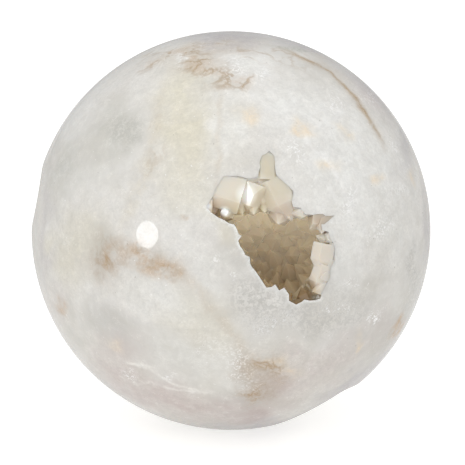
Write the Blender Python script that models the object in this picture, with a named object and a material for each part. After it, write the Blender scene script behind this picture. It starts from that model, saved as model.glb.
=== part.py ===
# A quartz geode sphere: a polished ball of white and cream quartz, cut through a hollow that is lined
# with tan quartz crystals. Metres, +Z up. The hollow faces the front, -Y. The origin is the centre of
# the small ground flat that the ball rests on.

import math
import random

import bmesh
import bpy
from mathutils import Matrix, Vector, noise

# Driving sizes
mm = 0.001
ball_radius = 55.0 * mm
foot_radius = 7.5 * mm
ball_segments = 64
front_lift = math.radians(12.0)
eye_distance = 750.0 * mm
touching_gap = 0.4 * mm
rim_step = 0.8 * mm
weld_distance = 0.02 * mm

# The axes of the front view, from which the hollow and the dips are drawn
front_right = Vector((1.0, 0.0, 0.0))
front_up = Vector((0.0, math.sin(front_lift), math.cos(front_lift)))
front_out = Vector((0.0, -math.cos(front_lift), math.sin(front_lift)))
ball_centre = Vector((0.0, 0.0, math.sqrt(ball_radius**2 - foot_radius**2)))

# The rim of the hollow in mm right of and above the ball's centre, as seen from the front, clockwise
# from its left tip. Each pair is a point of the edge of the polished face, and the point of the open
# throat inside the crystals that faces it. A narrow slot of crystals runs up at the top.
rim_pairs = [
    ((-7.8, 6.0), (-5.2, 5.6)),
    ((-5.5, 10.8), (-2.2, 7.0)),
    ((-2.5, 15.0), (1.2, 7.4)),
    ((3.5, 15.4), (5.0, 8.6)),
    ((7.0, 16.4), (7.2, 10.6)),
    ((7.4, 21.0), (8.6, 11.2)),
    ((10.4, 22.4), (10.2, 10.4)),
    ((13.4, 20.6), (11.8, 8.4)),
    ((13.6, 16.2), (13.6, 6.0)),
    ((17.8, 11.4), (15.8, 4.6)),
    ((20.0, 7.4), (18.6, 4.8)),
    ((24.0, 6.0), (23.0, 4.4)),
    ((29.4, 5.2), (27.6, 4.2)),
    ((27.8, 1.0), (25.6, 1.0)),
    ((28.2, -3.2), (26.2, -2.8)),
    ((29.0, -6.0), (24.4, -6.4)),
    ((29.2, -9.6), (24.4, -10.0)),
    ((28.0, -13.2), (23.2, -12.8)),
    ((26.4, -16.0), (23.8, -15.6)),
    ((25.6, -20.4), (24.0, -18.8)),
    ((21.0, -21.4), (20.4, -19.8)),
    ((17.0, -21.6), (17.2, -20.0)),
    ((14.0, -19.2), (14.6, -17.8)),
    ((10.6, -17.4), (11.2, -16.0)),
    ((7.6, -16.0), (8.4, -14.6)),
    ((5.2, -12.8), (6.4, -11.6)),
    ((3.6, -8.8), (5.0, -7.8)),
    ((1.0, -5.6), (2.6, -4.6)),
    ((-2.6, -2.2), (-0.2, -1.0)),
    ((-6.0, 1.8), (-3.4, 2.6)),
]
funnel_depth = 4.5 * mm

# Below the mouth the hollow widens to a rounded pocket. Each level has its height in front of the
# ball's centre, its middle, its half width and height, and how far it has left the mouth's outline.
pocket_levels = [
    {"front": 43.0, "middle": (11.5, -1.5), "half": (20.0, 19.0), "rounding": 0.35},
    {"front": 36.0, "middle": (10.5, -2.5), "half": (20.5, 19.0), "rounding": 0.75},
    {"front": 28.0, "middle": (10.0, -3.5), "half": (18.5, 17.0), "rounding": 1.0},
    {"front": 21.0, "middle": (9.5, -4.5), "half": (13.0, 12.0), "rounding": 1.0},
    {"front": 17.5, "middle": (9.5, -4.5), "half": (6.0, 5.5), "rounding": 1.0},
]
crust_thickness = 2.6 * mm
pocket_roughness = 1.2 * mm
clear_of_ball = 12.0 * mm
mouth_depth = 2.5 * mm
level_drop = 9.0 * mm

# Two shallow natural dips in the polished face, on the rim of the front view. A bearing is measured
# clockwise from the right, and each side of a dip has its own reach along the rim.
dips = [
    {"bearing": 190.0, "depth": 1.25 * mm, "reach_before": 10.5, "reach_after": 10.5, "across": 12.0},
    {"bearing": 57.0, "depth": 1.45 * mm, "reach_before": 7.5, "reach_after": 23.0, "across": 14.0},
]

# Crystals of the crust: six-sided prisms with pointed ends
crystal_spacing = 5.0 * mm
crystal_radius = (1.9 * mm, 3.0 * mm)
crystal_shaft = (0.2 * mm, 1.8 * mm)
crystal_tip = (1.6 * mm, 2.8 * mm)
crystal_root = 1.5 * mm
crystal_lean = math.radians(28.0)
rim_crystal_scale = 0.62
rim_crystal_reach = 14.0 * mm
crystal_seed = 34


def remove_all_objects():
    for item in list(bpy.data.objects):
        bpy.data.objects.remove(item, do_unlink=True)


def add_collection(name):
    collection = bpy.data.collections.new(name)
    bpy.context.scene.collection.children.link(collection)
    return collection


def add_material(name, colour, roughness):
    material = bpy.data.materials.new(name)
    material.use_nodes = True
    shader = material.node_tree.nodes["Principled BSDF"]
    shader.inputs["Base Color"].default_value = (*colour, 1.0)
    shader.inputs["Roughness"].default_value = roughness
    shader.inputs["Metallic"].default_value = 0.0
    return material


def add_object(name, shape, collection):
    mesh = bpy.data.meshes.new(name)
    bmesh.ops.recalc_face_normals(shape, faces=shape.faces)
    shape.to_mesh(mesh)
    shape.free()
    item = bpy.data.objects.new(name, mesh)
    collection.objects.link(item)
    return item


def add_cutter(name, shape):
    item = add_object(name, shape, cutters)
    item.hide_render = True
    item.display_type = "WIRE"
    return item


def add_boolean(item, operand, operation):
    cut = item.modifiers.new(operation.title(), "BOOLEAN")
    cut.operation = operation
    cut.object = operand
    cut.solver = "EXACT"
    return cut


def front_point(right, up, front):
    return ball_centre + front_right * right + front_up * up + front_out * front


def on_ball(right, up):
    # Where the line of sight through a point of the front view meets the ball
    eye = front_point(0.0, 0.0, eye_distance)
    sight = (front_point(right * mm, up * mm, 0.0) - eye).normalized()
    offset = eye - ball_centre
    half = sight.dot(offset)
    reach = -half - math.sqrt(half**2 - offset.length_squared + ball_radius**2)
    return eye + sight * reach


def dip_depth(direction):
    total = 0.0
    for dip in dips:
        bearing = math.degrees(math.atan2(-direction.dot(front_up), direction.dot(front_right))) % 360.0
        along = bearing - dip["bearing"]
        across = math.degrees(math.asin(direction.dot(front_out) - ball_radius / eye_distance))
        reach = dip["reach_before"] if along < 0.0 else dip["reach_after"]
        distance = min(1.0, math.hypot(along / reach, across / dip["across"]))
        total += dip["depth"] * (0.5 + 0.5 * math.cos(math.pi * distance))
    return total


def ball_shape(radius, with_dips):
    shape = bmesh.new()
    bmesh.ops.create_uvsphere(
        shape, u_segments=ball_segments, v_segments=ball_segments // 2, radius=radius,
    )
    for point in shape.verts:
        direction = point.co.normalized()
        if with_dips and abs(direction.dot(front_out)) < 0.5:
            point.co -= direction * dip_depth(direction)
        point.co += ball_centre
    return shape


def pocket_ring(edge, level, inset):
    # One section of the hollow: the outline at its mouth, eased towards an oval
    ring = []
    middle = sum(edge, Vector()) / len(edge) - ball_centre
    for point in edge:
        right = (point - ball_centre).dot(front_right)
        up = (point - ball_centre).dot(front_up)
        front = (point - ball_centre).dot(front_out)
        angle = math.atan2(up - middle.dot(front_up), right - middle.dot(front_right))
        wide, high = (half * mm - inset for half in level["half"])
        oval_right = level["middle"][0] * mm + wide * math.cos(angle)
        oval_up = level["middle"][1] * mm + high * math.sin(angle)
        rounding = level["rounding"]
        level_front = level["front"] * mm + inset
        place = front_point(
            right * (1.0 - rounding) + oval_right * rounding,
            up * (1.0 - rounding) + oval_up * rounding,
            (front - level_drop) * (1.0 - rounding) + level_front * rounding,
        )
        lump = noise.noise(place / (9.0 * mm)) * pocket_roughness * rounding
        ring.append(place + (place - ball_centre).normalized() * lump)
    return ring


def loft_shape(rings):
    shape = bmesh.new()
    rows = [[shape.verts.new(point) for point in ring] for ring in rings]
    for near, far in zip(rows, rows[1:]):
        for index in range(len(near)):
            following = (index + 1) % len(near)
            shape.faces.new((near[index], near[following], far[following], far[index]))
    for row, turned in ((rows[0], False), (rows[-1], True)):
        middle = shape.verts.new(sum((point.co for point in row), Vector()) / len(row))
        for index in range(len(row)):
            near, far = row[index], row[(index + 1) % len(row)]
            shape.faces.new((near, far, middle) if turned else (far, near, middle))
    bmesh.ops.triangulate(shape, faces=shape.faces)
    return shape


def drawn_in(outline, distance):
    # The outline, which runs clockwise, with each point moved inwards across its corner
    moved = []
    for index, point in enumerate(outline):
        here = Vector(point)
        before = (here - Vector(outline[index - 1])).normalized()
        after = (Vector(outline[(index + 1) % len(outline)]) - here).normalized()
        across = (before + after).normalized()
        inwards = Vector((across.y, -across.x))
        moved.append(here + inwards * distance / max(0.5, across.dot(after)))
    return moved


def hollow_shape(gap):
    # From clear of the ball's face, straight in through the mouth and down to the pocket's floor
    outline = drawn_in([outer for outer, inner in rim_pairs], gap / mm)
    edge = [on_ball(*point) for point in outline]
    rings = [[point + front_out * clear_of_ball for point in edge]]
    rings.append([point - front_out * mouth_depth for point in edge])
    rings += [pocket_ring(edge, level, gap) for level in pocket_levels]
    return loft_shape(rings)


def throat_shape():
    # A funnel from the mouth's edge down to the throat, which then widens with the pocket
    edge = [on_ball(*outer) for outer, inner in rim_pairs]
    throat = [on_ball(*inner) for outer, inner in rim_pairs]
    rings = [[point + front_out * clear_of_ball for point in edge]]
    rings.append([point - front_out * rim_step for point in edge])
    rings.append([point - front_out * funnel_depth for point in throat])
    rings += [pocket_ring(throat, level, crust_thickness) for level in pocket_levels]
    return loft_shape(rings)


def add_crystal(shape, place, direction, chance):
    # A hexagonal prism whose end face is raised to a point off its middle
    depth = ball_radius - (place - ball_centre).length
    scale = min(1.0, rim_crystal_scale + (1.0 - rim_crystal_scale) * depth / rim_crystal_reach)
    radius = chance.uniform(*crystal_radius) * scale
    shaft = crystal_root + chance.uniform(*crystal_shaft) * scale
    tip = chance.uniform(*crystal_tip) * scale
    turn = direction.to_track_quat("Z", "Y").to_matrix().to_4x4()
    spin = Matrix.Rotation(chance.uniform(0.0, math.pi / 3.0), 4, "Z")
    base = Matrix.Translation(place - direction * crystal_root) @ turn @ spin
    made = bmesh.ops.create_cone(
        shape, cap_ends=True, segments=6, radius1=radius * 1.04, radius2=radius, depth=shaft,
        matrix=base @ Matrix.Translation((0.0, 0.0, shaft / 2.0)),
    )
    faces = {face for point in made["verts"] for face in point.link_faces}
    top = max(faces, key=lambda face: (face.calc_center_median() - place).dot(direction))
    peak = bmesh.ops.poke(shape, faces=[top])["verts"][0]
    aside = Vector((chance.uniform(-0.25, 0.25), chance.uniform(-0.25, 0.25), 0.0)) * radius
    peak.co += direction * tip + base.to_3x3() @ aside


def scattered_points(shape, chance):
    # Points on the throat's wall, no two nearer than the crystals' spacing
    faces = [face for face in shape.faces if face.calc_area() > 0.0]
    areas = [face.calc_area() for face in faces]
    chosen = []
    for face in chance.choices(faces, weights=areas, k=6000):
        a, b, c = (point.co for point in face.verts)
        u, v = chance.random(), chance.random()
        if u + v > 1.0:
            u, v = 1.0 - u, 1.0 - v
        place = a + (b - a) * u + (c - a) * v
        if (place - ball_centre).length > ball_radius - rim_step:
            continue
        if all((place - other).length > crystal_spacing for other, normal in chosen):
            chosen.append((place, -face.normal.copy()))
    return chosen


def crystals_shape():
    chance = random.Random(crystal_seed)
    wall = throat_shape()
    bmesh.ops.recalc_face_normals(wall, faces=wall.faces)
    wall.normal_update()
    shape = bmesh.new()
    for place, inward in scattered_points(wall, chance):
        lean = Vector((chance.gauss(0.0, 1.0), chance.gauss(0.0, 1.0), chance.gauss(0.0, 1.0)))
        direction = (inward + lean.normalized() * math.tan(crystal_lean) * chance.random()).normalized()
        add_crystal(shape, place, direction, chance)
    wall.free()
    return shape


def build_stone():
    stone = add_object("stone_sphere", ball_shape(ball_radius, True), parts)
    hollow = add_cutter("hollow_form", hollow_shape(0.0))
    ground = bmesh.new()
    ground_size = 3.0 * ball_radius
    ground_place = Matrix.Translation((0.0, 0.0, -ground_size / 2.0))
    bmesh.ops.create_cube(ground, size=ground_size, matrix=ground_place)
    add_boolean(stone, hollow, "DIFFERENCE")
    add_boolean(stone, add_cutter("ground_flat", ground), "DIFFERENCE")
    stone.data.materials.append(add_material("polished quartz", (0.72, 0.68, 0.62), 0.12))
    return stone


def build_crust():
    # The crust fills the hollow up to just under the polished face, less the throat, and its crystals
    # are kept to the same limits before they are joined to it
    face = add_cutter("crust_face", ball_shape(ball_radius - rim_step, False))
    limit = add_cutter("crust_limit", hollow_shape(touching_gap))
    add_boolean(limit, face, "INTERSECT")
    crystals = add_cutter("crystal_forms", crystals_shape())
    add_boolean(crystals, limit, "INTERSECT").use_self = True
    crust = add_object("crystal_crust", hollow_shape(touching_gap), parts)
    add_boolean(crust, face, "INTERSECT")
    add_boolean(crust, add_cutter("throat_form", throat_shape()), "DIFFERENCE")
    add_boolean(crust, crystals, "UNION")
    weld = crust.modifiers.new("Weld", "WELD")
    weld.merge_threshold = weld_distance
    crust.data.materials.append(add_material("tan quartz crystal", (0.46, 0.36, 0.24), 0.2))
    return crust


remove_all_objects()
parts = add_collection("quartz geode sphere")
cutters = add_collection("cutters")
build_stone()
build_crust()
for part in parts.objects:
    part.data.shade_smooth()
    part.data.set_sharp_from_angle(angle=math.radians(20.0))
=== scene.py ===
import math
import random
from functools import partial

import bmesh
import bpy
import numpy as np
from mathutils import Matrix, Vector, noise


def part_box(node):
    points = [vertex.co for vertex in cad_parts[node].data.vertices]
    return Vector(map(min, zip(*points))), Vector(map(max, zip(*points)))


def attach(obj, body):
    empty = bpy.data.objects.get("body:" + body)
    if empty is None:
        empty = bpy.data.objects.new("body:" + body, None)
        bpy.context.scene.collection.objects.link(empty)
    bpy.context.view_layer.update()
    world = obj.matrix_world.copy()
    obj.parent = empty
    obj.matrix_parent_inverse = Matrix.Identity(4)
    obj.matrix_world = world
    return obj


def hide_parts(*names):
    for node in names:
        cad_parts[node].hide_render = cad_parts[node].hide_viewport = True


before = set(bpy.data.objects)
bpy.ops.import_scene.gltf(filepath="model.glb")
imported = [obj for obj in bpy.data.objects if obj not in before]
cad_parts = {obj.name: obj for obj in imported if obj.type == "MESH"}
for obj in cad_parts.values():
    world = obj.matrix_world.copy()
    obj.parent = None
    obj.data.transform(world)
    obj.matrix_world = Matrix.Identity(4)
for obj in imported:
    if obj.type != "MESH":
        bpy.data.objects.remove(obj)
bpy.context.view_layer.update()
mm = 0.001

# the view of the photograph: pixels are those of its 465 x 465 picture
view = {
    "lift": math.radians(12.0),      # the camera stands this far above the horizon
    "eyeDistance": 0.750,            # from the ball's centre, m
    "side": 465.0,
    "centre": (231.0, 230.5),
    "radius": 199.5,
}

low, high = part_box("stone_sphere")
ballRadius = (high[0] - low[0]) / 2.0
ballCentre = Vector((0.0, 0.0, high[2] - ballRadius))
frontRight = Vector((1.0, 0.0, 0.0))
frontUp = Vector((0.0, math.sin(view["lift"]), math.cos(view["lift"])))
frontOut = Vector((0.0, -math.cos(view["lift"]), math.sin(view["lift"])))
limbSlope = math.tan(math.asin(ballRadius / view["eyeDistance"]))
pixel = view["eyeDistance"] * limbSlope / view["radius"]     # size of a pixel at the ball's centre


def frontVector(right, up, out):
    return frontRight * right + frontUp * up + frontOut * out


eye = ballCentre + frontVector(0.0, 0.0, view["eyeDistance"])


def photoPoint(x, y, depth=0.0):
    # the point that a pixel of the photograph shows, on the ball or this far under its face
    right, up = (x - view["centre"][0]) * pixel, (view["centre"][1] - y) * pixel
    sight = (ballCentre + frontVector(right, up, 0.0) - eye).normalized()
    offset = eye - ballCentre
    half = sight.dot(offset)
    inside = half**2 - offset.length_squared + (ballRadius - depth) ** 2
    return eye + sight * (-half - math.sqrt(max(0.0, inside)))


def frontPlace(point):
    # right, up and out of a point, from the ball's centre as the photograph sees it
    offset = point - ballCentre
    return offset.dot(frontRight), offset.dot(frontUp), offset.dot(frontOut)


def linear(hexColour):
    # sRGB hex to the linear colour that the nodes take
    parts = [int(hexColour[i:i + 2], 16) / 255.0 for i in (1, 3, 5)]
    return [c / 12.92 if c <= 0.04045 else ((c + 0.055) / 1.055) ** 2.4 for c in parts] + [1.0]


def newPiece(name, bm, smooth):
    mesh = bpy.data.meshes.new(name)
    bmesh.ops.recalc_face_normals(bm, faces=bm.faces)
    bm.to_mesh(mesh)
    bm.free()
    piece = bpy.data.objects.new(name, mesh)
    bpy.context.scene.collection.objects.link(piece)
    if smooth:
        mesh.shade_smooth()
    return piece


def boolean(piece, other, operation, ownOverlaps=False):
    cut = piece.modifiers.new(operation, "BOOLEAN")
    cut.operation = operation
    cut.object = other
    cut.solver = "EXACT"
    cut.use_self = ownOverlaps


def applyModifiers(piece):
    baked = bpy.data.meshes.new_from_object(piece.evaluated_get(bpy.context.evaluated_depsgraph_get()))
    piece.modifiers.clear()
    piece.data = baked


key = {
    "mirror": (147.0, 234.5),        # the pixel where the ball mirrors the key lamp
    "distance": 0.70,
    "width": 0.172,
    "height": 0.176,
    "radiance": 5.5,
}


def lampPlace():
    # the key lamp stands where the ball mirrors it at its pixel
    spot = photoPoint(*key["mirror"])
    normal = (spot - ballCentre).normalized()
    sight = (spot - eye).normalized()
    return spot + (sight - normal * 2.0 * sight.dot(normal)) * key["distance"]


# the hollow: each pair is a pixel of the polished edge and the pixel of the open throat that faces it,
# clockwise from the left tip. Each level of the pocket is, in mm, its distance from the ball's centre
# and its oval's middle and half sizes, as in the CAD, then the outline's easing to that oval and drop.
hollow = {
    "rim": [
        ((206, 207), (212, 207)), ((213, 195), (222, 204)), ((216, 187), (229, 206)),
        ((223, 177), (236, 207)), ((232, 176), (240, 206)), ((242, 177), (246, 206)),
        ((251, 178), (252, 203)), ((259, 176), (257, 197)), ((260, 162), (261, 195)),
        ((262, 156), (264, 196)), ((269, 151), (267, 198)), ((275, 156), (270, 202)),
        ((276, 173), (273, 208)), ((281, 180), (277, 216)), ((293, 191), (284, 220)),
        ((292, 201), (289, 220)), ((293, 207), (293, 217)), ((300, 208), (298, 216)),
        ((306, 213), (305, 216)), ((313, 215), (313, 217)), ((323, 213), (322, 216)),
        ((335, 216), (331, 218)), ((328, 221), (324, 222)), ((320, 226), (318, 228)),
        ((328, 232), (325, 234)), ((332, 240), (328, 241)), ((335, 248), (324, 249)),
        ((335, 254), (321, 255)), ((334, 261), (322, 262)), ((331, 269), (321, 268)),
        ((330, 277), (316, 276)), ((326, 284), (315, 283)), ((324, 289), (316, 289)),
        ((322, 294), (318, 292)), ((320, 298), (319, 297)), ((314.8, 302.2), (314, 301)),
        ((309.4, 300.8), (309, 300)), ((304, 298.8), (304, 298)), ((297, 302.8), (297, 302)),
        ((290.6, 300.2), (291, 299)), ((288.2, 294.8), (289, 294)), ((283.2, 289.8), (284, 289)),
        ((275.2, 286.8), (276, 286)), ((267.2, 286.8), (268, 286)), ((262.2, 281.8), (263, 281)),
        ((258.2, 277.8), (259, 277)), ((256.2, 271.8), (257, 271)), ((252.2, 266.8), (253, 266)),
        ((251.8, 262.4), (253, 262)), ((247.8, 257.4), (249, 257)), ((246.8, 253.4), (248, 253)),
        ((242.8, 249.8), (244, 249)), ((238.8, 246.4), (240, 246)), ((239.8, 241.4), (241, 241)),
        ((241.2, 236.8), (242, 236)), ((236.8, 234.8), (238, 234)), ((236.2, 229.4), (237, 229)),
        ((233.2, 225.4), (234, 225)), ((229.2, 221.4), (230, 221)), ((224.2, 219.8), (225, 219)),
        ((218.6, 215.8), (219, 215)), ((211, 212), (214, 211)),
    ],
    "funnelDepth": 4.2 * mm,
    "seed": 5,
    "edgeStep": 1.4 * mm,            # the edge is broken into chips about this long
    "edgeChip": 0.2 * mm,
    "overhangChip": 0.65 * mm,
    "overhang": 0.95 * mm,           # where the funnel is narrower, the edge overhangs the hollow
    "edgeBandWidth": 0.7 * mm,         # and is painted white this far to either side, as broken chips and as painted light on its shaded wall
    "edgeBandDepth": 2.0 * mm,
    "mouthDepth": 2.2 * mm,
    "levels": [
        (48.0, (9.5, -3.0), (20.0, 18.5), 0.3, 4.6), (43.0, (10.5, -2.5), (20.5, 19.0), 0.55, 9.0),
        (36.0, (10.5, -2.5), (20.5, 19.0), 0.75, 9.0), (28.0, (10.0, -3.5), (18.5, 17.0), 1.0, 9.0),
        (21.0, (9.5, -4.5), (13.0, 12.0), 1.0, 9.0), (17.5, (9.5, -4.5), (6.0, 5.5), 1.0, 9.0),
    ],
    "crustThickness": 2.6 * mm,
    "lumpSize": 9.0 * mm,
    "lumpHeight": 1.2 * mm,
    "clear": 12.0 * mm,              # the cutter stands this far out of the ball
    "faceStep": 0.06 * mm,           # the crystals stop this far under the polished face
    "crustSeat": 0.15 * mm,          # and are rooted this far in the stone
}


def chippedEdge(pairs):
    # the rim's pairs with short chips between them, the same on the edge and on the throat
    chance = random.Random(hollow["seed"])
    edge, throat = [], []
    for (outer, inner), (nextOuter, nextInner) in zip(pairs, pairs[1:] + pairs[:1]):
        length = (photoPoint(*nextOuter) - photoPoint(*outer)).length
        steps = max(1, round(length / hollow["edgeStep"]))
        funnel = (photoPoint(*outer) - photoPoint(*inner)).length
        size = hollow["overhangChip"] if funnel < hollow["overhang"] else hollow["edgeChip"]
        for step in range(steps):
            share = (step + (chance.uniform(-0.25, 0.25) if step else 0.0)) / steps
            chip = chance.uniform(-1.0, 1.0) * size / pixel
            for points, start, end in ((edge, outer, nextOuter), (throat, inner, nextInner)):
                along = Vector(end) - Vector(start)
                across = Vector((-along.y, along.x)).normalized() * chip
                points.append(photoPoint(*(Vector(start) + along * share + across)))
    return edge, throat


def ovalAngles(ring):
    # the ring's bearings about its middle, eased so that they never turn back: the ring runs clockwise
    middle = frontPlace(sum(ring, Vector()) / len(ring))
    places = [frontPlace(point) for point in ring]
    bearings = np.unwrap([math.atan2(up - middle[1], right - middle[0]) for right, up, _ in places])
    even = bearings[0] - 2.0 * math.pi * np.arange(len(ring)) / len(ring)
    return np.minimum.accumulate(bearings) * 0.75 + even * 0.25


def pocketRing(edge, level, inset):
    # one level of the hollow: the outline at its mouth, eased towards an oval and made lumpy
    ring = []
    height, middle, halves, share, drop = level
    wide, high = (half * mm - inset for half in halves)
    for point, angle in zip(edge, ovalAngles(edge)):
        right, up, out = frontPlace(point)
        ovalRight = middle[0] * mm + wide * math.cos(angle)
        ovalUp = middle[1] * mm + high * math.sin(angle)
        place = ballCentre + frontVector(
            right * (1.0 - share) + ovalRight * share,
            up * (1.0 - share) + ovalUp * share,
            (out - drop * mm) * (1.0 - share) + (height * mm + inset) * share,
        )
        lump = noise.noise(place / hollow["lumpSize"]) * hollow["lumpHeight"] * share
        ring.append(place + (place - ballCentre).normalized() * lump)
    return ring


def ringSolid(rings):
    # a disc is drawn to the first ring's shape and extruded from ring to ring
    bm = bmesh.new()
    bmesh.ops.create_circle(bm, cap_ends=True, segments=len(rings[0]), radius=1.0)
    bm.verts.ensure_lookup_table()
    row = list(bm.verts)
    for vert, place in zip(row, rings[0]):
        vert.co = place
    base = cap = bm.faces[:][0]
    for ring in rings[1:]:
        made = bmesh.ops.extrude_face_region(bm, geom=[cap])["geom"]
        if cap is not base:
            bmesh.ops.delete(bm, geom=[cap], context="FACES_ONLY")
        cap = next(item for item in made if isinstance(item, bmesh.types.BMFace))
        fresh = {vert.co.to_tuple(9): vert for vert in made if isinstance(vert, bmesh.types.BMVert)}
        row = [fresh[vert.co.to_tuple(9)] for vert in row]
        for vert, place in zip(row, ring):
            vert.co = place
    bmesh.ops.poke(bm, faces=[cap])
    bmesh.ops.triangulate(bm, faces=bm.faces)
    return bm


def hollowSolid(edge, inset):
    middle = sum(edge, Vector()) / len(edge)
    drawn = [point + (middle - point).normalized() * inset for point in edge]
    rings = [[point + frontOut * hollow["clear"] for point in drawn]]
    rings.append([point - frontOut * hollow["mouthDepth"] for point in drawn])
    rings += [pocketRing(drawn, level, inset) for level in hollow["levels"]]
    return ringSolid(rings)


def throatSolid(edge, throat):
    rings = [[point + frontOut * hollow["clear"] for point in edge]]
    rings.append([point - frontOut * hollow["faceStep"] for point in edge])
    rings.append([point - frontOut * hollow["funnelDepth"] for point in throat])
    rings += [pocketRing(throat, level, hollow["crustThickness"]) for level in hollow["levels"][1:]]
    return ringSolid(rings)


# the polished ball, with the two natural dips of its rim as the photograph's outline shows them:
# bearings run clockwise from the right, and the second dip starts at a sharp corner
ball = {
    "subdivisions": 7,
    "trimSubdivisions": 6,           # of the ball that trims the crust
    "sharpAngle": 35.0,
    "footZ": 0.0,
    "dipBand": 0.45,                 # the dips reach this far, in radii, before and behind the rim
    "dips": [
        {"bearing": 190.0, "depth": 1.25 * mm, "before": 10.5, "after": 10.5, "across": 12.0},
        {"bearing": 57.0, "depth": 1.45 * mm, "before": 7.5, "after": 23.0, "across": 14.0},
    ],
}


def dipDepth(direction):
    total = 0.0
    bearing = math.degrees(math.atan2(-direction.dot(frontUp), direction.dot(frontRight))) % 360.0
    across = math.degrees(math.asin(direction.dot(frontOut) - ballRadius / view["eyeDistance"]))
    for dip in ball["dips"]:
        along = bearing - dip["bearing"]
        reach = dip["before"] if along < 0.0 else dip["after"]
        distance = min(1.0, math.hypot(along / reach, across / dip["across"]))
        total += dip["depth"] * (0.5 + 0.5 * math.cos(math.pi * distance))
    return total


def makeBall(radius, subdivisions, dips):
    bm = bmesh.new()
    bmesh.ops.create_icosphere(bm, subdivisions=subdivisions, radius=radius)
    for vert in bm.verts:
        direction = vert.co.normalized()
        if dips and abs(direction.dot(frontOut)) < ball["dipBand"]:
            vert.co -= direction * dipDepth(direction)
        vert.co += ballCentre
    return bm


def cutFoot(bm):
    # the ground flat is one face, for its own matt finish
    everything = bm.verts[:] + bm.edges[:] + bm.faces[:]
    floor = Vector((0.0, 0.0, ball["footZ"]))
    cut = bmesh.ops.bisect_plane(
        bm, geom=everything, plane_co=floor, plane_no=(0, 0, -1), clear_outer=True,
    )
    edges = [item for item in cut["geom_cut"] if isinstance(item, bmesh.types.BMEdge)]
    flat = bmesh.ops.contextual_create(bm, geom=edges)["faces"]
    for face in flat:
        face.material_index = 1


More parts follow.
